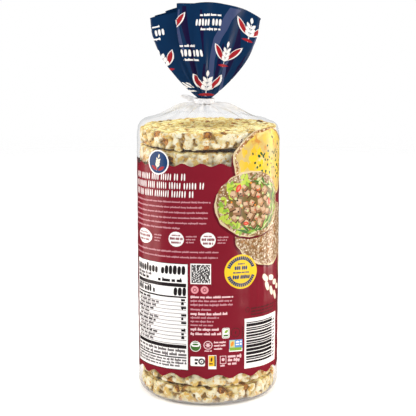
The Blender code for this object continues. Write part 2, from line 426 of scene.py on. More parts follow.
def seeds(name, left, right, middle, height, seed, fit=sagged, ragged=0.0, group=7, slim=1.0):
    """A heavy line of upright grains, side by side in groups, some of them shorter."""
    rng = random.Random(seed)
    at, run = left, rng.randint(3, group)
    while at < right - height / 3:
        width = height * rng.uniform(0.42, 0.52) * slim
        lean = math.pi / 2 - 0.06 + rng.uniform(-0.05, 0.05)
        size = height * rng.uniform(0.94, 1.06) * (1 - ragged * (rng.random() < 0.6))
        ink(name, grain_outline((at + width / 2, middle - (height - size) / 2), size, width, lean), fit)
        run -= 1
        at += width + height * (0.06 + 0.26 * (1 - slim))
        if run == 0:
            at += height * 0.30
            run = rng.randint(2, group)


def sprig(name, foot, angle, grains, length, fit=sagged):
    """An ear of grain: pairs of seeds up a stalk, and one at the tip."""
    for k in range(grains):
        for side in (-1, 1):
            along = (k + 0.6) * length * 0.62
            seat = turn([(along, side * length * 0.34)], foot, angle)[0]
            ink(name, leaf(seat, length, length * 0.44, angle + side * 0.55), fit)
    tip = turn([((grains + 0.5) * length * 0.62 + length * 0.3, 0)], foot, angle)[0]
    ink(name, leaf(tip, length, length * 0.44, angle), fit)
    top = grains * length * 0.62
    stalk = [(-length * 0.9, -0.25), (top, -0.2), (top, 0.2), (-length * 0.9, 0.25)]
    ink(name, turn(stalk, foot, angle), fit)


def loose_ear(name, tip, angle, pairs, length):
    """Plump grains that lie apart, in pairs behind one at the tip."""
    ink(name, grain_outline(tip, length, length * 0.55, angle))
    for k in range(pairs):
        for side in (-1, 1):
            seat = turn([((k + 0.85 + 0.12 * side) * length * 0.94, side * length * 0.46)], tip, angle)[0]
            ink(name, grain_outline(seat, length * 0.94, length * 0.50, angle + side * 0.42))


def scatter(rng, centre, reach, count, gap, stretch=1.0):
    """Up to count places within reach of the centre, none closer than gap."""
    places = []
    for _ in range(count * 30):
        a, r = rng.uniform(0, 2 * math.pi), reach * math.sqrt(rng.random())
        place = (centre[0] + stretch * r * math.cos(a), centre[1] + r * math.sin(a))
        if all(math.dist(place, other) > gap for other in places):
            places.append(place)
        if len(places) == count:
            break
    return places


def pictured_cake(centre, radius, seed, stretch, name="cake_print"):
    """A plain puffed cake, with a shadow at its lower left."""
    ink("shadow_red", disc((centre[0] - 1.1, centre[1] - 1.2), radius + 0.2, 0.3, seed, stretch))
    ink("cake_rim", disc(centre, radius, 0.7, seed, stretch))
    ink(name, disc((centre[0] + 0.2, centre[1] + 0.2), radius - 0.55, 0.6, seed + 1, stretch))


def yellow_topping(centre, radius, seed, stretch):
    """A soft yellow spread, brighter at its left, with chopped green herbs at its right."""
    rng = random.Random(seed)
    ink("spread_print", disc(centre, radius, 1.3, seed, stretch))
    bright = (centre[0] - 0.46 * radius * stretch, centre[1] + 0.02 * radius)
    for place in scatter(rng, bright, radius * 0.60, 12, radius * 0.22):
        name, size = rng.choice(("yellow", "marigold")), rng.uniform(0.10, 0.20) * radius
        ink(name, disc(place, size, 1.3, rng.randrange(999), 0.8))
    crowd = (centre[0] + 0.02 * radius * stretch, centre[1] - 0.16 * radius)
    herbs = scatter(rng, crowd, radius * 0.60, 40, 2.3, stretch)
    herbs += scatter(rng, centre, radius * 0.85, 16, 4.0)
    for place in herbs:
        shape = grain_outline(place, rng.uniform(1.5, 2.8), rng.uniform(1.1, 1.9), rng.uniform(0, 3))
        ink("herb_green", shape)


def salad_topping(centre, radius, seed, stretch):
    """Lime leaves at the left, thin green strips at the right, and cut pieces in the middle."""
    rng = random.Random(seed)

    def seat(angle, share):
        """The place on the cake at an angle and a share of its radius."""
        across, up = math.cos(angle), math.sin(angle)
        return centre[0] + stretch * share * radius * across, centre[1] + share * radius * up

    ink("salad_shade", disc(centre, radius * 0.86, 1.0, seed, stretch))
    for _ in range(60):
        a = rng.uniform(math.radians(105), math.radians(250))
        place, length = seat(a, rng.uniform(0.78, 1.11)), rng.uniform(3.0, 6.0)
        shape = leaf(place, length, rng.uniform(1.4, 2.6), rng.uniform(0, 3))
        ink(rng.choice(("lime", "lime", "leaf_green")), shape)
    for _ in range(80):
        a = rng.uniform(math.radians(-115), math.radians(95))
        lean = a + math.pi / 2 + rng.uniform(-0.7, 0.7)
        shape = leaf(seat(a, rng.uniform(0.62, 1.02)), rng.uniform(5.0, 11.0), rng.uniform(0.8, 1.7), lean)
        ink(rng.choice(("deep_green", "leaf_green", "deep_green", "pale_green")), shape)
    for place in scatter(rng, (centre[0] - 2.5, centre[1]), radius * 0.72, 34, radius * 0.225, stretch):
        size, corners = rng.uniform(0.13, 0.19) * radius, rng.choice((4, 4, 5))
        shape = chunk(place, size, rng, corners)
        x, y = place
        lit = [(x - 0.5 + 0.70 * (a - x), y + 0.6 + 0.60 * (b - y)) for a, b in shape]
        ink("cut_shade", [(a + 0.5, b - 0.8) for a, b in shape])
        ink(rng.choice(("cut_piece", "cut_piece", "cut_side", "cut_dark")), shape)
        ink("cut_light", lit)
    for place in scatter(rng, centre, radius * 0.80, 14, radius * 0.3, stretch):
        ink("pale_green", chunk(place, rng.uniform(0.8, 1.5), rng))
    for angle, share, size in ((2.3, 0.80, 3.2), (0.1, 0.62, 2.5), (4.3, 0.72, 2.3), (1.1, 0.30, 1.3)):
        ink("tomato", leaf(seat(angle, share), size * 2, size * 1.15, angle + 1.9))
        ink("tomato_light", leaf(seat(angle, share), size, size * 0.4, angle + 1.9))
    for place in scatter(rng, centre, radius * 0.78, 44, radius * 0.09, stretch):
        ink(rng.choice(("black", "black", "carrot", "tomato")), chunk(place, rng.uniform(0.4, 0.8), rng, 4))


def facts_panel(left, low, right, high):
    """A white table of plain rules and bars in a thin dark frame."""
    ink("black", box(left - 0.35, low - 0.35, right + 0.35, high + 0.35))
    ink("white", box(left, low, right, high))
    width, height = right - left, high - low
    margin, indent = 1.0, 2.8
    near, far = left + margin, right - margin

    def at(share):
        """v at a share of the way down the panel."""
        return high - share * height

    def rule(share, weight):
        """A black line across the panel."""
        ink("black", box(near, at(share) - weight / 2, far, at(share) + weight / 2))

    seeds("black", near, left + width * 0.56, at(0.058), 6.2, 11, ragged=0.24, group=16)
    seeds("black", left + width * 0.60, far, at(0.058), 6.2, 17, ragged=0.24, group=16)
    words("grey", near, left + width * 0.40, at(0.122), 1.5, 12, 7)
    words("black", near, left + width * 0.34, at(0.156), 1.6, 13, 6)
    words("black", left + width * 0.54, far, at(0.158), 1.9, 14, 7)
    rule(0.198, 2.5)
    words("grey", near, left + width * 0.42, at(0.228), 1.0, 18, 6)
    seeds("black", near, left + width * 0.46, at(0.262), 4.4, 15, ragged=0.24)
    seeds("black", right - width * 0.20, far, at(0.258), 6.0, 16)
    rule(0.310, 1.1)
    for k in range(12):
        y = at(0.340 + 0.0360 * k)
        name, start = ("dark_grey", margin) if k % 3 == 0 else ("grey", margin + indent)
        words(name, left + start, left + width * (0.38 + 0.06 * (k * 7 % 4)), y, 1.4, 20 + k, 8)
        if k % 4 != 3:
            words("black", far - 3.8, far, y + 0.2, 1.5, 50 + k, 4.5)
        ink("grey", box(near, y - 1.56, far, y - 1.18))
    rule(0.782, 2.5)
    words("grey", near, far, at(0.822), 1.5, 41, 8)
    words("grey", near, far, at(0.860), 1.5, 42, 8)
    rule(0.886, 0.9)
    for k in range(3):
        words("grey", near, far - 5 * (k == 2), at(0.912 + 0.028 * k), 1.15, 43 + k, 7)


def module_square(left, low, side, modules, seed):
    """A white square filled with small dark cells at random."""
    rng = random.Random(seed)
    ink("white", box(left, low, left + side, low + side))
    margin = 0.7
    cell = (side - 2 * margin) / modules
    for row in range(modules):
        at = 0
        while at < modules:
            stop = min(at + rng.randint(1, 5), modules)
            x, y = left + margin + at * cell, low + margin + row * cell
            ink("black", box(x, y + 0.02, left + margin + stop * cell, y + cell - 0.02))
            at = stop + 1


def bar_panel(left, low, right, high, seed):
    """A white panel with bars of uneven weight across it, and a column of marks beside them."""
    rng = random.Random(seed)
    ink("white", box(left, low, right, high))
    y = low + 3.8
    while y < high - 3.0:
        weight = rng.choice((0.7, 1.0, 1.5, 2.1))
        ink("black", box(left + 1.4, y, right - 6.4, y + weight))
        y += weight + rng.choice((0.4, 0.5, 0.7))
    for y in np.arange(low + 4.5, high - 4.0, 2.6):
        ink("dark_grey", grain_outline((right - 4.0, y), 2.6, 1.5, 0.3))


def tag_badges():
    """A pale tag with a leaf, and a dark ring beside it."""
    ink("white", rounded_box(9.6, 49.0, 15.0, 56.4, 1.2))
    ink("deep_green", rounded_box(10.0, 49.4, 14.6, 56.0, 1.0))
    ink("white", rounded_box(10.3, 49.7, 14.3, 55.7, 0.8))
    ink("leaf_green", leaf((12.6, 53.8), 3.4, 1.9, 0.7))
    ink("deep_green", box(10.7, 50.4, 13.9, 51.6))
    rings((19.4, 52.7), ("dark_red", 3.5), ("maroon", 2.9))
    ink("dark_red", leaf((19.4, 52.7), 2.6, 1.2, 1.4))


def middle_badges():
    """A green disc, a pink flower in a ring, and a small field under a blue sky."""
    rings((-8.6, 43.6), ("white", 3.8), ("deep_green", 3.4))
    ink("white", rounded_box(-11.6, 43.3, -5.6, 46.2, 1.4))
    ink("deep_green", grain_outline((-8.6, 44.9), 4.2, 1.3, 0.0))
    rings((0.0, 44.5), ("pale_pink", 3.1), ("maroon", 2.5))
    for k in range(3):
        ink("pale_pink", leaf((0.0, 44.5), 4.0, 1.2, math.pi * k / 3))
        words("pale_pink", 4.0, 13.6 - 1.6 * k, 46.4 - 2.3 * k, 0.9, 60 + k, 6)
    words("pale_pink", -2.4, 2.6, 40.4, 0.7, 68, 4)
    ink("white", box(14.7, 39.3, 24.5, 41.4))
    ink("sky_blue", box(14.7, 41.4, 24.5, 47.6))
    ink("pale_green", box(15.1, 41.4, 18.8, 47.3))
    ink("carrot", leaf((16.9, 44.8), 4.2, 2.3, 1.2))
    ink("leaf_green", box(15.0, 40.0, 24.0, 42.2))
    words("white", 19.6, 24.0, 46.0, 0.9, 64, 4)
    words("white", 19.6, 24.0, 44.2, 0.9, 65, 4)


def low_badges():
    """A white box with a dark ring, a yellow card, and a pink frame with a disc in it."""
    ink("white", rounded_box(-12.1, 29.6, -2.1, 36.2, 0.8))
    words("dark_grey", -11.5, -6.4, 34.0, 1.4, 66, 4)
    words("black", -11.5, -7.2, 31.6, 1.6, 67, 4)
    rings((-4.4, 32.9), ("dark_grey", 2.3), ("white", 1.2))
    ink("dark_grey", leaf((-4.4, 32.9), 2.0, 0.8, 0.9))
    ink("white", box(0.2, 27.6, 5.7, 37.4))
    ink("marigold", box(0.5, 29.6, 4.3, 37.0))
    ink("dark_grey", box(4.3, 29.6, 5.4, 37.0))
    ink("dark_red", leaf((2.4, 34.4), 3.6, 1.3, 1.4))
    words("dark_red", 0.9, 4.0, 31.4, 0.8, 69, 3)
    ink("pale_pink", box(8.2, 31.2, 12.6, 36.8))
    ink("maroon", box(8.6, 31.6, 12.2, 36.4))
    ink("pale_pink", disc((10.4, 34.2), 1.1))
    words("pale_pink", 8.4, 12.6, 29.8, 1.0, 63, 5)
    for k in range(3):
        words("pale_pink", 13.8, 24.6 - 2.2 * k, 36.0 - 2.6 * k, 1.4, 70 + k, 6)


def front_text():
    """The left half of the photographed side: heavy lines, fine lines and three discs."""
    heavy_lines = ((-65, -13, 159.4), (-67, -1.0, 153.6), (-67, -8.0, 148.0))
    for seed, (left, right, middle) in enumerate(heavy_lines, 1):
        seeds("white", left, right, middle, 4.6, seed, slim=0.43)
    for k, right in enumerate((1.7, -4.1, 0.6, 0.6, -1.2, -19.4)):
        words("fine_pink", -68, right, 142.6 - 3.55 * k, 0.8, 80 + k, 9)
    for k, (x, y, stretch) in enumerate(((-53.2, 117.4, 1.85), (-22.2, 117.4, 1.12), (0.0, 117.2, 1.0))):
        ink("white", disc((x, y), 5.2, stretch=stretch))
        for row, half, height in ((2.6, 2.9, 1.0), (0.4, 4.3, 1.9), (-2.3, 3.4, 1.6)):
            seeds("maroon", x - half * stretch, x + half * stretch, y + row, height, 90 + 7 * k + int(row))
        for row in range(3):
            start = x + 6.4 * stretch
            words("fine_pink", start, start + 7.4 - row, y + 2.0 - 2.0 * row, 0.7, 120 + 5 * k + row, 5)
    words("fine_pink", -69, 7.0, 108.8, 0.8, 130, 9)
    words("fine_pink", -69, 6.6, 105.1, 0.8, 131, 9)
    rows = ((17.4, 77.9, 1.1), (16.6, 75.2, 0.95), (17.2, 72.5, 0.95), (3.4, 69.3, 0.95), (14.0, 66.2, 1.3),
            (7.4, 63.6, 0.95), (3.8, 61.0, 0.95), (4.4, 58.4, 0.95), (8.4, 55.4, 1.25), (9.0, 52.2, 1.25))
    for k, (right, middle, height) in enumerate(rows):
        words("pale_pink" if height > 1 else "fine_pink", -12, right, middle, height, 140 + k, 7)
    for x in (-9.0, -2.3):
        rings((x, 83.0), ("soft_pink", 2.7), ("maroon", 1.3), ("soft_pink", 0.8))


def round_mark():
    """A navy disc with a pale rim, and an ear of grain over two leaves in it."""
    centre = (-37.0, 169.0)
    ink("white", disc(centre, 8.4, stretch=1.15))
    ink("navy_ink", disc(centre, 7.5, stretch=1.15))
    sprig("cream", (centre[0] - 1.0, centre[1] - 3.0), math.radians(75), 3, 3.0)
    ink("bright_red", leaf((centre[0] - 3.6, centre[1] - 3.8), 6.6, 2.2, 2.7))
    ink("bright_red", leaf((centre[0] + 2.8, centre[1] - 4.2), 6.6, 2.2, 0.4))


def yellow_label():
    """A yellow disc with short navy bars, the outer ones set round the edge."""
    centre, radius = (23.6, 95.0), 11.9
    ink("yellow", disc(centre, radius, stretch=1.05))
    for start, stop in ((22, 160), (202, 340)):
        for a in np.arange(start, stop, 8.6):
            t = math.radians(a)
            seat = (centre[0] + 9.9 * math.cos(t), centre[1] + 9.4 * math.sin(t))
            ink("navy_ink", turn(box(-0.62, -1.25, 0.62, 1.25), seat, t - math.pi / 2))
    for half, row, height in ((2.8, 5.4, 1.2), (5.2, 2.6, 2.9), (6.4, -0.6, 1.2), (6.6, -3.7, 2.9)):
        seeds("navy_ink", centre[0] - half, centre[0] + half, centre[1] + row, height, int(70 + row))


def front_print():
    """Everything on the photographed side of the wall."""
    ink("maroon", wavy_band(22.0, 167.6))
    pictured_cake((50.0, 119.5), 22.0, 201, 1.44)
    pictured_cake((49.5, 168.3), 24.5, 203, 1.33, "toast_print")
    yellow_topping((50.3, 168.0), 22.6, 204, 1.38)
    pictured_cake((32.8, 140.8), 22.4, 205, 1.27)
    salad_topping((34.0, 140.6), 19.2, 206, 1.27)
    round_mark()
    yellow_label()
    front_text()
    facts_panel(-65.5, 26.5, -14.0, 100.4)
    module_square(-12.0, 87.0, 14.0, 21, 207)
    tag_badges()
    middle_badges()
    low_badges()
    bar_panel(26.2, 26.3, 62.4, 61.8, 208)
    for k, row in enumerate((68.6, 66.4, 64.2)):
        words("dark_red", 31.5, 58, row, 1.0, 209 + k, 7)
    for y in np.arange(48.0, 57.0, 1.5):
        ink("dark_red", box(24.0, y, 25.2, y + 1.1))
    rings((28.6, 68.0), ("dark_red", 1.9), ("maroon", 1.4))
    loose_ear("cream", (45.6, 88.6), math.radians(-34), 3, 8.0)


def back_print():
    """The sides that the photo doesn't show, in the same manner."""
    half = GIRTH / 2
    pictured_cake((112.0, 66.0), 26.0, 301, 1.2)
    pictured_cake((96.0, 94.0), 24.0, 303, 1.1, "toast_print")
    yellow_topping((96.5, 94.0), 20.5, 304, 1.1)
    pictured_cake((-112.0, 60.0), 27.0, 305, 1.2)
    salad_topping((-112.0, 60.5), 23.0, 306, 1.2)
    ink("cream", rounded_box(88, 124, half - 3, 156, 6))
    ink("cream", rounded_box(-half + 3, 124, -88, 156, 6))
    for side in (-1, 1):
        for k, (inner, row, height) in enumerate(((96, 147.5, 6.5), (100, 138.0, 4.0), (106, 131.5, 2.2))):
            left, right = sorted((side * inner, side * (half - 10 - 3 * k)))
            seeds("navy_ink", left, right, row, height, 310 + k + side)
    sprig("cream", (-84, 98), math.radians(100), 5, 5.6)
    sprig("cream", (142, 92), math.radians(80), 5, 5.6)
    for k in range(4):
        words("pale_pink", -146, -96 - 5 * (k == 3), 112 - 3.6 * k, 1.3, 320 + k)
        words("pale_pink", 124, 150 - 4 * (k == 3), 34 + 3.4 * k, 1.2, 330 + k)


def frill_fit(middle):
    """Fits a motif drawn as it looks, in width and rise, on to the gathered film round u = middle."""
    def fit(point):
        """Where a point of the motif lies on the flat film."""
        x, rise = point
        t = min(max(rise / FRILL_RISE, 0.02), 0.995)
        return middle + x / (FRILL_DENSITY * frill_spread(t)), NECK_TOP_V + t * FRILL_LENGTH

    return fit


def edge_knot_u(place):
    """u of the cut edge, a number of knots to the right of the front one."""
    places = np.linspace(-0.5, 0.5, len(EDGE_U)) * len(FRILL_EDGE)
    return np.interp(place, places, EDGE_U)


def front_u(x, t):
    """u of the point that shows at x on the frill's front panel, at t up the frill."""
    spread = frill_spread(t)
    first, last = edge_knot_u(-FRILL_FRONT_KNOT), edge_knot_u(FRILL_FRONT_LAST - FRILL_FRONT_KNOT)
    ahead = (EDGE_U > first) & (EDGE_U < last)
    return float(np.interp((x - NECK_SHIFT * (1 - spread)) / spread, EDGE_POINTS[ahead, 0], EDGE_U[ahead]))


def streak(name, path):
    """A soft-ended band on the front panel, through points of x, rise and half width."""
    outline = []
    for side, points in ((-1, path), (1, path[::-1])):
        for x, rise, half in points:
            t = min(max(rise / FRILL_RISE, 0.03), 0.995)
            outline.append((front_u(x + side * half, t), NECK_TOP_V + t * FRILL_LENGTH))
    ink(name, outline)


def frill_motif(rise, fit):
    """A white ear of grain between two red leaves with pale rims."""
    for side in (-1, 1):
        angle = math.pi / 2 - side * 0.62
        seat = (side * 5.6, rise + 1.2)
        ink("white", leaf(seat, 13.6, 4.0, angle), fit)
        ink("bright_red", leaf((seat[0] - side * 0.4, seat[1] - 0.2), 12.2, 2.9, angle), fit)
    sprig("white", (0.0, rise - 4.6), math.pi / 2, 3, 4.6, fit)
    ink("bright_red", leaf((0.0, rise - 7.6), 7.5, 2.0, 0.0), fit)


def frill_words(rise, seed, fit):
    """A heavy line between two fine ones."""
    words("white", -7.5, 7.5, rise + 4.7, 1.1, 400 + seed, 6, fit)
    seeds("white", -10.5, 10.5, rise, 4.6, 410 + seed, fit, slim=0.72)
    words("white", -7.0, 7.0, rise - 4.6, 1.1, 420 + seed, 6, fit)


def frill_print():
    """Painted shade and painted highlights of folds on navy, with staggered rows of motifs and lines."""
    ink("navy", box(-GIRTH / 2, NECK_TOP_V, GIRTH / 2, FRILL_TOP_V))
    # Painted shade in the folds first, then painted highlights along them.
    for path in FRILL_PAINTED_SHADE:
        streak("navy_painted_shade", path)
    for path in FRILL_PAINTED_HIGHLIGHTS:
        streak("navy_painted_highlight", path)
    for row, (rise, count, first) in enumerate(((10.5, 4, 6.0), (31.0, 8, -16.0), (51.5, 10, 6.0))):
        for k in range(count):
            middle = (first + (k - count // 2) * GIRTH / count + GIRTH / 2) % GIRTH - GIRTH / 2
            if abs(middle) > GIRTH / 2 - 12 / frill_spread(rise / FRILL_RISE):
                continue
            if (k + row) % 2:
                frill_words(rise, k, frill_fit(middle))
            else:
                frill_motif(rise, frill_fit(middle))


def grid_rows():
    """v of each row of the film's mesh, closer together where the film bends more."""
    stretches = (
        (PROFILE_V[0], CORNER_RADIUS - 8, BASE_STEP),
        (CORNER_RADIUS - 8, CORNER_RADIUS, CORNER_STEP),
        (CORNER_RADIUS, WALL_TOP, WALL_STEP),
        (WALL_TOP, NECK_TOP_V, SHOULDER_STEP),
        (NECK_TOP_V, FRILL_TOP_V, FRILL_STEP),
    )
    rows = []
    for low, high, step in stretches:
        rows += list(np.linspace(low, high, max(2, round((high - low) / step)), endpoint=False))
    return np.array(rows + [FRILL_TOP_V])


def film_ink(slots):
    """The flat film cut into triangles along the print's outlines, and the slot of each."""
    columns = np.linspace(-GIRTH / 2, GIRTH / 2, round(GIRTH / COLUMN_STEP) + 1)
    rows = grid_rows()
    points = [Vector((u, v)) for v in rows for u in columns]
    outlines = []
    for _, outline in shapes:
        first = len(points)
        points += [Vector(p) for p in outline]
        outlines.append(list(range(first, len(points))))
    flat, _, triangles, _, _, sources = delaunay_2d_cdt(points, [], outlines, 0, CUT_TOLERANCE, True)
    names = list(slots)
    chosen = [names.index(shapes[max(found)][0]) if found else 0 for found in sources]
    return np.array([tuple(p) for p in flat]), np.array(triangles), np.array(chosen)


def new_object(name, data):
    """An object in the scene that shows the data."""
    obj = bpy.data.objects.new(name, data)
    bpy.context.scene.collection.objects.link(obj)
    return obj


def make_film(slots):
    """The whole film as one sheet, with its print as material slots."""
    front_print()
    back_print()
    frill_print()
    flat, triangles, chosen = film_ink(slots)
    data = bpy.data.meshes.new("film")
    data.from_pydata((film_point(flat[:, 0], flat[:, 1]) * MM).tolist(), [], triangles.tolist())
    for material in slots.values():
        data.materials.append(material)
    data.polygons.foreach_set("material_index", chosen.astype(np.int32))
    layer = data.uv_layers.new(name="flat")
    corners = np.empty(len(data.loops), np.int32)
    data.loops.foreach_get("vertex_index", corners)
    layer.data.foreach_set("uv", (flat[corners] / GIRTH + (0.5, 0.2)).astype(np.float32).ravel())
    # Painted shade for the pleats: 0 in a valley, where the cloudy film is painted darker, and 1 on a ridge.
    ridge = smooth(0.5 + 0.5 * pleat(flat[:, 0] / RADIUS))
    pleat_shade = data.color_attributes.new("pleat_shade", "FLOAT_COLOR", "POINT")
    pleat_shade.data.foreach_set("color", np.stack((ridge, ridge, ridge, np.ones(len(ridge))), axis=1).ravel())
    mesh = bmesh.new()
    mesh.from_mesh(data)
    bmesh.ops.remove_doubles(mesh, verts=mesh.verts, dist=MERGE_DISTANCE)
    bmesh.ops.recalc_face_normals(mesh, faces=mesh.faces)
    mesh.to_mesh(data)
    mesh.free()
    data.shade_smooth()
    film = new_object("film", data)
    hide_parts("bag")
    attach(film, "root")
    return film


# Cakes: puffed grains pressed into a disc, flat on both faces and round at the rims. What stands
# out past the mould is pressed down to a share, and each grain's size and place vary a little.
CAKE_RADIUS = 46.0
CAKE_HEIGHT = 12.2
CAKE_REACH = 46.9
FACE_LEVEL = 5.7
RIM_DROP = 1.1
RIM_WAVE = 0.8
RIM_WIDTH = 6.0
STACK_FOOT = 1.1
FILM_CLEARANCE = 1.3
GRAIN_GAP = 4.7
FACE_GRAIN = (3.3, 2.5, 2.3)
SIDE_GRAIN = (2.3, 2.7, 3.3)
SIDE_ROWS = (-3.6, 0.0, 3.6)
GRAIN_JITTER = 0.9
PRESSED_SHARE = 0.40
FIRST_CAKE_SEED = 100

# The skins' sizes of face: where a cake shows through clear film, next to it, and behind print.
SHOWN_VOXEL = 0.55
NEXT_VOXEL = 0.70
HIDDEN_VOXEL = 2.0
TAPE_VOXEL = 0.40


def grain_ball():
    """One round grain of radius 1: its points and triangles."""
    mesh = bmesh.new()
    bmesh.ops.create_icosphere(mesh, subdivisions=2, radius=1.0)
    points = np.array([v.co for v in mesh.verts])
    triangles = np.array([[v.index for v in f.verts] for f in mesh.faces])
    mesh.free()
    return points, triangles


BALL_POINTS, BALL_TRIANGLES = grain_ball()


def face_places(rng, top):
    """Where grains lie on a face: a loose triangular lattice inside the rim."""
    rows = []
    reach = CAKE_RADIUS - 1.0
    step = GRAIN_GAP * math.sqrt(3) / 2
    for j, y in enumerate(np.arange(-reach, reach + 1, step)):
        for x in np.arange(-reach, reach + 1, GRAIN_GAP):
            rows.append((x + GRAIN_GAP / 2 * (j % 2), y, 0))
    places = np.array(rows) + rng.normal(0, GRAIN_JITTER, (len(rows), 3)) * (1, 1, 0.28)
    places = places[np.hypot(places[:, 0], places[:, 1]) < reach]
    places[:, 2] += (CAKE_HEIGHT / 2 - 2.0) * (1 if top else -1)
    return places


def side_places(rng):
    """Where grains lie round the side, in three loose rows."""
    count = round(2 * math.pi * CAKE_RADIUS / GRAIN_GAP)
    places = []
    for row, z in enumerate(SIDE_ROWS):
        angles = (np.arange(count) + 0.5 * (row % 2)) * 2 * math.pi / count + rng.normal(0, 0.018, count)
        radii = CAKE_RADIUS - 0.9 - 0.6 * (row != 1) + rng.normal(0, GRAIN_JITTER, count)
        heights = z + rng.normal(0, 0.7, count)
        places.append(np.stack((radii * np.sin(angles), -radii * np.cos(angles), heights), axis=1))
    return np.concatenate(places)


def turned(points, heading, lean):
    """The points leant over about X, then turned about Z."""
    c, s = math.cos(lean), math.sin(lean)
    x, y, z = points[:, 0], points[:, 1] * c - points[:, 2] * s, points[:, 1] * s + points[:, 2] * c
    c, s = math.cos(heading), math.sin(heading)
    return np.stack((c * x - s * y, s * x + c * y, z), axis=1)


def grains_of(rng):
    """Centres of all grains of a cake, and their points and triangles as one set."""
    lying = np.concatenate((face_places(rng, True), face_places(rng, False)))
    upright = side_places(rng)
    centres = np.concatenate((lying, upright))
    points, triangles = [], []
    for k, centre in enumerate(centres):
        varied = rng.uniform(0.70, 1.30, 3)
        lean = rng.uniform(-0.35, 0.35)
        if k < len(lying):
            grain = turned(BALL_POINTS * FACE_GRAIN * varied, rng.uniform(0, math.pi), lean)
        else:
            outward = math.atan2(centre[1], centre[0]) + rng.uniform(-0.3, 0.3)
            grain = turned(BALL_POINTS * SIDE_GRAIN * varied, outward, lean)
        points.append(grain + centre)
        triangles.append(BALL_TRIANGLES + k * len(BALL_POINTS))
    return centres, np.concatenate(points), np.concatenate(triangles)


def core_disc():
    """The pressed middle of a cake: a disc that the grains stand out of."""
    mesh = bmesh.new()
    radius, depth = CAKE_RADIUS - 1.2, CAKE_HEIGHT - 2.4
    bmesh.ops.create_cone(mesh, cap_ends=True, segments=96, radius1=radius, radius2=radius, depth=depth)
    points = np.array([v.co for v in mesh.verts])
    faces = [[v.index for v in f.verts] for f in mesh.faces]
    mesh.free()
    return points, faces


def crumpling(name, kind, size, **settings):
    """A texture that roughens the skin of a cake."""
    texture = bpy.data.textures.new(name, kind)
    texture.noise_scale = size * MM
    for key, value in settings.items():
        setattr(texture, key, value)
    return texture


def remeshed(data, voxel, textures):
    """The mesh as one closed skin of even small faces, roughened by the textures."""
    obj = new_object("draft", data)
    remesh = obj.modifiers.new("skin", "REMESH")
    remesh.mode = "VOXEL"
    remesh.voxel_size = voxel * MM
    remesh.use_smooth_shade = True
    for texture, depth in textures:
        rough = obj.modifiers.new("rough", "DISPLACE")
        rough.texture = texture
        rough.texture_coords = "LOCAL"
        rough.strength = depth * MM
    bpy.context.view_layer.update()
    skin = bpy.data.meshes.new_from_object(obj.evaluated_get(bpy.context.evaluated_depsgraph_get()))
    bpy.data.objects.remove(obj)
    bpy.data.meshes.remove(data)
    return skin


def film_reach(z):
    """How far out from the axis a cake may go at a height above the floor."""
    low = np.clip(1 - z / CORNER_RADIUS, 0, 1)
    return RADIUS - CORNER_RADIUS + CORNER_RADIUS * np.sqrt(1 - low**2) - FILM_CLEARANCE


def pressed(co, middle, phase):
    """Points of a cake as its mould presses them: faces, rims and side flattened, and clear of the film."""
    out = np.hypot(co[:, 0], co[:, 1])
    angle = np.arctan2(co[:, 0], -co[:, 1])
    wave = RIM_WAVE * (np.sin(3 * angle + phase) * 0.6 + np.sin(7 * angle + 2 * phase) * 0.4)
    level = FACE_LEVEL - (RIM_DROP + wave) * smooth((out - CAKE_REACH + RIM_WIDTH) / RIM_WIDTH)
    over = np.abs(co[:, 2]) - level
    co[:, 2] = np.sign(co[:, 2]) * np.where(over > 0, level + over * PRESSED_SHARE, np.abs(co[:, 2]))
    reach = np.where(out > CAKE_REACH, CAKE_REACH + (out - CAKE_REACH) * PRESSED_SHARE, out)
    reach = np.minimum(reach, film_reach(co[:, 2] + middle))
    co[:, :2] *= (reach / np.maximum(out, 1e-6))[:, None]
    return co


def grain_tint(co, centres, rng, order):
    """Tone, toasting and painted shade at each point, by its nearest grain: the shade lies deep below the
    crowns and on faces pressed to a neighbour.

    order counts cakes down from the top one, whose upper face is the only one in the open.
    """
    tree = KDTree(len(centres))
    for k, centre in enumerate(centres):
        tree.insert(centre, k)
    tree.balance()
    nearest = np.array([tree.find(p)[1] for p in co])
    # Grains differ in tone at random. The second cake's grains are kept paler, as painted light against the
    # shadow that the top cake casts on it.
    tone = rng.uniform(0.5 * (order == 1), 1, len(centres))[nearest]
    out = np.hypot(co[:, 0], co[:, 1])
    angle = np.arctan2(co[:, 0], -co[:, 1])
    # Besides each grain's own toasting, toast browns each cake towards its rim on one side: at the back of
    # the top cake, turned round for each cake below.
    rim = smooth((out - 36) / 6) * smooth(0.5 - 0.9 * np.cos(angle - 0.9 * order))
    toast = (rng.uniform(0, 1, len(centres)) ** 9)[nearest] + 0.48 * rim
    # Painted shade: how deep a point lies below the crowns, and whether it sits on a face pressed to a
    # neighbour cake.
    face_depth = (FACE_LEVEL + 0.2 - np.abs(co[:, 2])) / 1.4
    side_depth = (CAKE_REACH + 0.3 - out) / 2.2
    crevice_shade = smooth((np.abs(co[:, 2]) - 4.2) / 1.0) * smooth((CAKE_REACH - 2.0 - out) / 2.8)
    if order == 0:
        crevice_shade *= co[:, 2] < 0
    # The second cake's painted shade is weaker, as painted light against the top cake's shadow.
    depth = np.clip(np.minimum(face_depth, side_depth), 0, 1) * (0.60 if order == 1 else 1.0)
    return tone, toast, np.maximum(depth, crevice_shade)


def leant(co, lift, right, back):
    """Points raised, and raised more the further they lie to the right and to the back."""
    co = co.copy()
    co[:, 2] += lift + right * co[:, 0] + back * co[:, 1]
    return co


def settled(index, co, rng):
    """A cake's points where it lies in the stack. The top two gape a little at their right."""
    if index == CAKE_COUNT - 1:
        return leant(co, 0.5, 0.011, 0.003)
    if index == CAKE_COUNT - 2:
        return leant(co * (0.985, 0.985, 1) + (-1.1, 0.4, 0), -0.4, -0.009, 0.0)
    return co + (*rng.uniform(-0.3, 0.3, 2), 0)


def cake_voxel(index):
    """Fine skin where a cake shows through clear film, and coarse behind the print."""
    if index in (0, CAKE_COUNT - 1):
        return SHOWN_VOXEL
    if index in (1, CAKE_COUNT - 2):
        return NEXT_VOXEL
    return HIDDEN_VOXEL


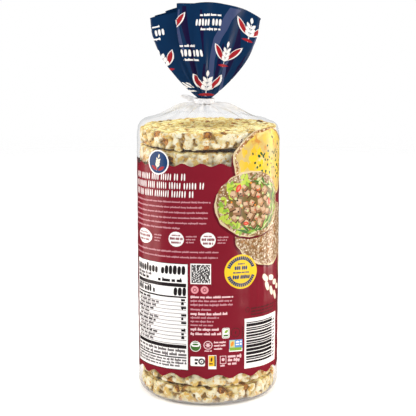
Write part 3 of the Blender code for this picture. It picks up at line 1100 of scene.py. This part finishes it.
def make_cake(index, material, voxel, textures):
    """One cake of the stack."""
    rng = np.random.default_rng(FIRST_CAKE_SEED + index)
    centres, points, triangles = grains_of(rng)
    core_points, core_faces = core_disc()
    first = len(points)
    faces = triangles.tolist() + [[first + k for k in face] for face in core_faces]
    middle = np.array((0, 0, STACK_FOOT + CAKE_HEIGHT / 2 + index * CAKE_PITCH))
    data = bpy.data.meshes.new("draft")
    data.from_pydata(((np.concatenate((points, core_points)) + middle) * MM).tolist(), [], faces)
    skin = remeshed(data, voxel, textures)
    count = len(skin.vertices)
    co = np.empty(count * 3)
    skin.vertices.foreach_get("co", co)
    co = pressed(co.reshape(-1, 3) / MM - middle, middle[2], 0.35 + 1.7 * (CAKE_COUNT - 1 - index))
    tone, toast, depth = grain_tint(co, centres, rng, CAKE_COUNT - 1 - index)
    tint = skin.color_attributes.new("tint", "FLOAT_COLOR", "POINT")
    channels = np.stack((tone, toast, depth, np.ones(count)), axis=1)
    tint.data.foreach_set("color", channels.astype(np.float32).ravel())
    skin.vertices.foreach_set("co", ((settled(index, co, rng) + middle) * MM).ravel())
    skin.materials.clear()
    skin.materials.append(material)
    skin.shade_smooth()
    skin.update()
    cake = new_object(f"cake_{index + 1:02d}", skin)
    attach(cake, "root")
    return cake


def make_tape(node, material, textures):
    """The tape at the neck, crumpled."""
    tape = new_object("tape", remeshed(node.data.copy(), TAPE_VOXEL, textures))
    tape.matrix_world = node.matrix_world
    tape.data.materials.clear()
    tape.data.materials.append(material)
    tape.data.shade_smooth()
    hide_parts("neck_tape")
    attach(tape, "root")
    return tape


# The studio: how far the floor reaches, in metres, how bright the surround is as a light, and how
# much of the floor's and the surround's brightness the gloss mirrors, as dark flags would leave.
FLOOR_REACH = 1.5
SURROUND_LIGHT = 0.42
MIRRORED = 0.04
PAPER = (0.95, 0.95, 0.95, 1)
PACK_MIDDLE = (0, 0, 0.13)
NEUTRAL = (1, 1, 1)
WARM = (1.0, 0.86, 0.76)

# Each soft box: name, place, what it is aimed at, width and height, power and colour.
SOFT_BOXES = (
    ("overhead", (0, 0.1, 1.9), (0, 0.1, 0), (3.0, 3.0), 50, NEUTRAL),
    ("key_left", (-0.75, -0.85, 0.80), PACK_MIDDLE, (0.55, 0.55), 3.4, NEUTRAL),
    ("strip_left", (-0.357, 0.044, 0.16), PACK_MIDDLE, (0.27, 0.32), 0.80, WARM),
    ("strip_right", (0.325, 0.13, 0.16), PACK_MIDDLE, (0.12, 0.32), 0.70, WARM),
    ("fill_right", (0.29, -0.225, 0.15), PACK_MIDDLE, (0.05, 0.30), 0.56, WARM),
)

# The photo's view is from the front, a little above the frill's height.
CAMERA_PLACE = (0.0, -0.800, 0.283)
CAMERA_AIM = (0.0, 0.0, 0.1295)
CAMERA_LENS = 100.0
CAMERA_SENSOR = 36.0

# The print's inks, as the 0 to 255 values of a screen.
INKS = {
    "maroon": (122, 24, 40),
    "shadow_red": (92, 16, 30),
    "dark_red": (82, 34, 38),
    "white": (239, 238, 237),
    "black": (34, 30, 32),
    "dark_grey": (66, 62, 64),
    "grey": (104, 100, 102),
    "pale_pink": (224, 190, 194),
    "fine_pink": (188, 134, 143),
    "soft_pink": (218, 144, 152),
    "yellow": (232, 194, 44),
    "marigold": (226, 180, 46),
    "navy_ink": (24, 58, 104),
    "cake_rim": (206, 190, 152),
    "herb_green": (38, 84, 56),
    "leaf_green": (128, 168, 62),
    "lime": (174, 196, 74),
    "deep_green": (66, 110, 50),
    "pale_green": (190, 200, 142),
    "salad_shade": (108, 92, 52),
    "cut_piece": (164, 126, 92),
    "cut_side": (178, 142, 108),
    "cut_light": (196, 168, 138),
    "cut_dark": (142, 104, 74),
    "cut_shade": (84, 58, 40),
    "tomato": (204, 62, 46),
    "tomato_light": (228, 128, 108),
    "carrot": (232, 138, 48),
    "sky_blue": (92, 144, 204),
    "cream": (238, 230, 208),
    "bright_red": (160, 34, 42),
    "navy": (10, 44, 80),
    # Painted shade and painted highlight of the frill's folds.
    "navy_painted_shade": (24, 18, 58),
    "navy_painted_highlight": (64, 76, 114),
}

# The pictured cakes: their grains, the gaps and the brown between.
CAKE_PRINTS = {
    "cake_print": ((182, 166, 136), (128, 94, 60), (150, 106, 60)),
    "toast_print": ((202, 172, 126), (134, 86, 40), (180, 116, 46)),
}

# Clear film: how cloudy it is on the wall, near the neck and under the base, and how far from
# the axis and from the floor the last two begin and are full, in metres.
WALL_HAZE = 0.03
NECK_HAZE = 0.84
BASE_HAZE = 0.36
NECK_HAZE_REACH = (0.031, 0.011)
BASE_HAZE_REACH = (0.008, 0.001)


class Nodes:
    """A material's node tree, with short calls to add to it."""

    def __init__(self, name):
        self.material = bpy.data.materials.new(name)
        self.material.use_nodes = True
        self.tree = self.material.node_tree
        self.tree.nodes.clear()
        self.place = self.add("ShaderNodeTexCoord").outputs
        self.where = self.place["Object"]

    def give(self, socket, value):
        """Sets an input to a value, or links another node's output to it."""
        if isinstance(value, bpy.types.NodeSocket):
            self.tree.links.new(value, socket)
        else:
            socket.default_value = value

    def add(self, kind, settings=None, **values):
        """A node, with its properties set, and its inputs given as values or as other sockets."""
        node = self.tree.nodes.new(kind)
        for key, value in (settings or {}).items():
            setattr(node, key, value)
        for key, value in values.items():
            self.give(node.inputs[key.replace("_", " ")], value)
        return node

    def mix(self, factor, a, b):
        """Two colours mixed by a factor."""
        node = self.add("ShaderNodeMix", {"data_type": "RGBA"})
        for index, value in ((0, factor), (6, a), (7, b)):
            self.give(node.inputs[index], value)
        return node.outputs[2]

    def ramp(self, value, low, high):
        """value as 0 below low and 1 above high."""
        smoothly = {"interpolation_type": "SMOOTHSTEP"}
        node = self.add("ShaderNodeMapRange", smoothly, Value=value, From_Min=low, From_Max=high)
        return node.outputs["Result"]

    def tinge(self, colour, value, low, high, other):
        """The colour, turning into the other one as value goes from low to high."""
        return self.mix(self.ramp(value, low, high), colour, other)

    def calculate(self, operation, *values):
        """The result of a Math node."""
        node = self.add("ShaderNodeMath", {"operation": operation})
        for socket, value in zip(node.inputs, values):
            self.give(socket, value)
        return node.outputs[0]

    def add_up(self, *weighted, base=0.0):
        """base plus each value times its weight."""
        total = base
        for value, weight in weighted:
            total = self.calculate("MULTIPLY_ADD", value, weight, total)
        return total

    def length(self, vector):
        """How long a vector is."""
        node = self.add("ShaderNodeVectorMath", {"operation": "LENGTH"})
        self.give(node.inputs[0], vector)
        return node.outputs["Value"]

    def noise(self, scale, detail=2.0):
        """A cloudy value, set out over the piece itself."""
        node = self.add("ShaderNodeTexNoise", Vector=self.where, Scale=scale, Detail=detail)
        return node.outputs["Fac"]

    def bump(self, strength, distance, height):
        """The normal of a skin roughened by a height."""
        return self.add("ShaderNodeBump", Strength=strength, Distance=distance, Height=height).outputs[0]

    def solid(self, colour, roughness, normal, specular=0.5):
        """The shader of a solid surface."""
        shader = self.add("ShaderNodeBsdfPrincipled", Base_Color=colour, Roughness=roughness,
                          Normal=normal, Specular_IOR_Level=specular)
        return shader.outputs[0]

    def blend_shaders(self, factor, first, second):
        """The first shader at factor 0, the second at 1."""
        node = self.add("ShaderNodeMixShader", Fac=factor)
        self.give(node.inputs[1], first)
        self.give(node.inputs[2], second)
        return node.outputs[0]

    def finish(self, shader):
        """The material, with the shader as its surface."""
        self.add("ShaderNodeOutputMaterial", Surface=shader)
        return self.material


def rgb(red, green, blue):
    """A colour given as the 0 to 255 values of a screen."""
    def linear(c):
        c /= 255
        return c / 12.92 if c <= 0.04045 else ((c + 0.055) / 1.055) ** 2.4

    return (linear(red), linear(green), linear(blue), 1.0)


def shade_of(colour, factor):
    """A colour made darker or lighter."""
    return tuple(c * factor for c in colour[:3]) + (1.0,)


def film_gloss(nodes, colour):
    """The shader of printed film: its colour under a gloss, with faint creasing."""
    return nodes.solid(colour, 0.24, nodes.bump(0.06, 0.0006, nodes.noise(60.0)), 0.18)


def printed(name, screen):
    """Film in one ink, a little uneven as thin ink on clear film is."""
    nodes = Nodes(name)
    colour = rgb(*screen)
    tinted = nodes.tinge(shade_of(colour, 0.93), nodes.noise(22.0), 0.3, 0.7, shade_of(colour, 1.05))
    return nodes.finish(film_gloss(nodes, tinted))


def cake_print(name, grain, gap, brown):
    """The picture of a puffed cake: pale grains with darker gaps and brown between."""
    nodes = Nodes(name)
    cells = nodes.add("ShaderNodeTexVoronoi", Vector=nodes.where, Scale=520.0)
    fine = nodes.noise(760.0)
    colour = nodes.tinge(rgb(*grain), cells.outputs["Distance"], 0.26, 0.66, rgb(*gap))
    colour = nodes.tinge(colour, nodes.noise(300.0), 0.55, 0.66, rgb(*brown))
    colour = nodes.tinge(colour, fine, 0.58, 0.68, rgb(238, 228, 210))
    colour = nodes.tinge(colour, fine, 0.38, 0.30, rgb(120, 82, 52))
    return nodes.finish(film_gloss(nodes, colour))


def spread_print():
    """The picture of a soft yellow spread, paler and browned in places."""
    nodes = Nodes("spread_print")
    colour = nodes.tinge(rgb(214, 190, 76), nodes.noise(70.0), 0.42, 0.58, rgb(197, 174, 108))
    colour = nodes.tinge(colour, nodes.noise(110.0, 3.0), 0.56, 0.68, rgb(224, 202, 134))
    colour = nodes.tinge(colour, nodes.noise(150.0, 4.0), 0.56, 0.68, rgb(196, 138, 66))
    return nodes.finish(film_gloss(nodes, colour))


def film_haze(nodes):
    """How cloudy clear film is: a little on the wall, more near the neck and under the base."""
    x, y, z = nodes.add("ShaderNodeSeparateXYZ", Vector=nodes.where).outputs
    out = nodes.length(nodes.add("ShaderNodeCombineXYZ", X=x, Y=y).outputs[0])
    above = nodes.ramp(z, STACK_HEIGHT * MM - 0.004, STACK_HEIGHT * MM + 0.002)
    gathered = nodes.calculate("MULTIPLY", above, nodes.ramp(out, *NECK_HAZE_REACH))
    return nodes.add_up((gathered, NECK_HAZE), (nodes.ramp(z, *BASE_HAZE_REACH), BASE_HAZE), base=WALL_HAZE)


def clear_film():
    """Film that is clear from the front, and greyer and glossier at a glance. Its cloudy part is painted
    darker grey in the pleats' valleys, as shade.
    """
    nodes = Nodes("clear_film")
    normal = nodes.bump(0.05, 0.0008, nodes.noise(70.0))
    slant = nodes.add("ShaderNodeLayerWeight", Blend=0.5, Normal=normal).outputs["Facing"]
    tint = nodes.tinge((0.975, 0.975, 0.975, 1), slant, 0.60, 1.0, rgb(244, 245, 246))
    through = nodes.add("ShaderNodeBsdfTransparent", Color=tint).outputs[0]
    pleat_shade = nodes.add("ShaderNodeAttribute", {"attribute_name": "pleat_shade"}).outputs["Fac"]
    # Painted shade: the cloudy film is darker grey in the pleats' valleys than on their ridges.
    milky_and_pleat_shade = nodes.mix(pleat_shade, (0.76, 0.775, 0.80, 1), (0.93, 0.94, 0.96, 1))
    cloudy = nodes.add("ShaderNodeBsdfDiffuse", Color=milky_and_pleat_shade, Normal=normal).outputs[0]
    body = nodes.blend_shaders(film_haze(nodes), through, cloudy)
    gloss = nodes.add("ShaderNodeBsdfGlossy", Roughness=0.14, Normal=normal).outputs[0]
    mirroring = nodes.add_up((nodes.ramp(slant, 0.45, 1.0), 0.10), base=0.02)
    return nodes.finish(nodes.blend_shaders(mirroring, body, gloss))


def puffed_rice():
    """Dry puffed grain: creamy on the crowns, yellow on the faces, with toasted flecks, and painted shade
    deep between the grains and between the cakes.
    """
    nodes = Nodes("puffed_rice")
    tint = nodes.add("ShaderNodeAttribute", {"attribute_name": "tint"}).outputs["Color"]
    tone, toast, depth = nodes.add("ShaderNodeSeparateColor", Color=tint).outputs
    upward = nodes.add("ShaderNodeSeparateXYZ", Vector=nodes.place["Normal"]).outputs[2]
    crown = nodes.mix(tone, rgb(219, 206, 151), rgb(241, 238, 214))
    face = nodes.mix(tone, rgb(251, 235, 144), rgb(254, 250, 196))
    colour = nodes.tinge(crown, upward, 0.40, 0.80, face)
    colour = nodes.tinge(colour, nodes.noise(230.0, 3.0), 0.48, 0.65, rgb(217, 184, 98))
    # Painted shade: darker brown deep between the grains and between the cakes.
    colour = nodes.tinge(colour, depth, 0.18, 0.82, rgb(138, 104, 44))
    flecks = nodes.noise(430.0, 3.0)
    colour = nodes.tinge(colour, flecks, 0.54, 0.66, rgb(218, 172, 78))
    browned = nodes.add_up((toast, 0.9), (nodes.noise(160.0, 4.0), 1.1), base=-0.5)
    colour = nodes.tinge(colour, browned, 0.44, 0.74, rgb(192, 124, 40))
    colour = nodes.tinge(colour, nodes.noise(760.0), 0.67, 0.75, rgb(146, 100, 42))
    slivers = nodes.add_up((browned, 0.5), (flecks, 0.8), base=-0.18)
    colour = nodes.tinge(colour, slivers, 0.58, 0.68, rgb(108, 68, 24))
    normal = nodes.bump(0.55, 0.0005, nodes.noise(900.0, 4.0))
    return nodes.finish(nodes.solid(colour, 0.62, normal, 0.25))


def white_tape():
    """Satin white tape with slight creases across it, painted darker in their hollows as shade."""
    nodes = Nodes("white_tape")
    crease = nodes.noise(420.0)
    # Painted shade: the colour is darker where the crease height is low.
    colour = nodes.mix(crease, (0.83, 0.84, 0.86, 1), (0.94, 0.94, 0.95, 1))
    return nodes.finish(nodes.solid(colour, 0.35, nodes.bump(0.3, 0.0004, crease)))


def floor_paper():
    """Pale paper that thins out far away, so that it meets the white surround with no line."""
    nodes = Nodes("floor_paper")
    colour = nodes.mix(nodes.noise(900.0), (0.93, 0.93, 0.93, 1), (0.96, 0.96, 0.96, 1))
    paper = nodes.add("ShaderNodeBsdfDiffuse", Color=colour).outputs[0]
    dimmed = nodes.add("ShaderNodeBsdfDiffuse", Color=shade_of(PAPER, MIRRORED)).outputs[0]
    mirrored = nodes.add("ShaderNodeLightPath").outputs["Is Glossy Ray"]
    gone = nodes.add("ShaderNodeBsdfTransparent").outputs[0]
    far = nodes.ramp(nodes.length(nodes.where), FLOOR_REACH / 2, FLOOR_REACH)
    return nodes.finish(nodes.blend_shaders(far, nodes.blend_shaders(mirrored, paper, dimmed), gone))


def film_slots():
    """The film's material for each ink. The first is bare clear film."""
    slots = {"clear": clear_film()}
    for name, screen in INKS.items():
        slots[name] = printed(name, screen)
    for name, colours in CAKE_PRINTS.items():
        slots[name] = cake_print(name, *colours)
    slots["spread_print"] = spread_print()
    return slots


def facing(place, target):
    """The turn that points a lamp or a camera from its place at the target."""
    return (Vector(target) - Vector(place)).to_track_quat("-Z", "Y").to_euler()


def soft_box(name, place, target, size, power, colour):
    """A rectangular lamp aimed at the target."""
    lamp = bpy.data.lights.new(name, "AREA")
    lamp.shape = "RECTANGLE"
    lamp.size, lamp.size_y = size
    lamp.energy, lamp.color = power, colour
    obj = new_object(name, lamp)
    obj.location = place
    obj.rotation_euler = facing(place, target)


def make_floor():
    """The pale floor."""
    mesh = bmesh.new()
    bmesh.ops.create_grid(mesh, x_segments=8, y_segments=8, size=FLOOR_REACH)
    data = bpy.data.meshes.new("floor")
    mesh.to_mesh(data)
    mesh.free()
    data.materials.append(floor_paper())
    new_object("floor", data)


def make_surround():
    """A surround that is pure white to the camera, a soft light to the pack and dark to its gloss."""
    world = bpy.data.worlds.new("studio")
    bpy.context.scene.world = world
    world.use_nodes = True
    tree = world.node_tree
    path = tree.nodes.new("ShaderNodeLightPath").outputs
    strength = None
    for ray, brightness in (("Is Glossy Ray", SURROUND_LIGHT * MIRRORED), ("Is Camera Ray", 1.0)):
        chosen = tree.nodes.new("ShaderNodeMix")
        chosen.inputs["A"].default_value = SURROUND_LIGHT
        chosen.inputs["B"].default_value = brightness
        tree.links.new(path[ray], chosen.inputs["Factor"])
        if strength is not None:
            tree.links.new(strength, chosen.inputs["A"])
        strength = chosen.outputs["Result"]
    back = tree.nodes["Background"]
    back.inputs["Color"].default_value = (1, 1, 1, 1)
    tree.links.new(strength, back.inputs["Strength"])
    bpy.context.scene.view_settings.view_transform = "Standard"


def make_camera():
    """The camera, with the photo's view."""
    data = bpy.data.cameras.new("camera")
    data.lens = CAMERA_LENS
    data.sensor_width = CAMERA_SENSOR
    camera = new_object("camera", data)
    camera.location = CAMERA_PLACE
    camera.rotation_euler = facing(CAMERA_PLACE, CAMERA_AIM)
    bpy.context.scene.camera = camera


def main():
    """The whole scene: the studio, the film, the cakes and the tape."""
    make_camera()
    make_floor()
    for settings in SOFT_BOXES:
        soft_box(*settings)
    make_surround()
    make_film(film_slots())
    rice = puffed_rice()
    lumps = crumpling("lumps", "CLOUDS", 3.2, noise_depth=2)
    cells = crumpling("cells", "VORONOI", 2.6)
    for index in range(CAKE_COUNT):
        make_cake(index, rice, cake_voxel(index), ((lumps, 1.7), (cells, 0.9)))
    creases = crumpling("creases", "CLOUDS", 2.0, noise_depth=1)
    make_tape(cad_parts["neck_tape"], white_tape(), ((creases, 1.2),))


main()
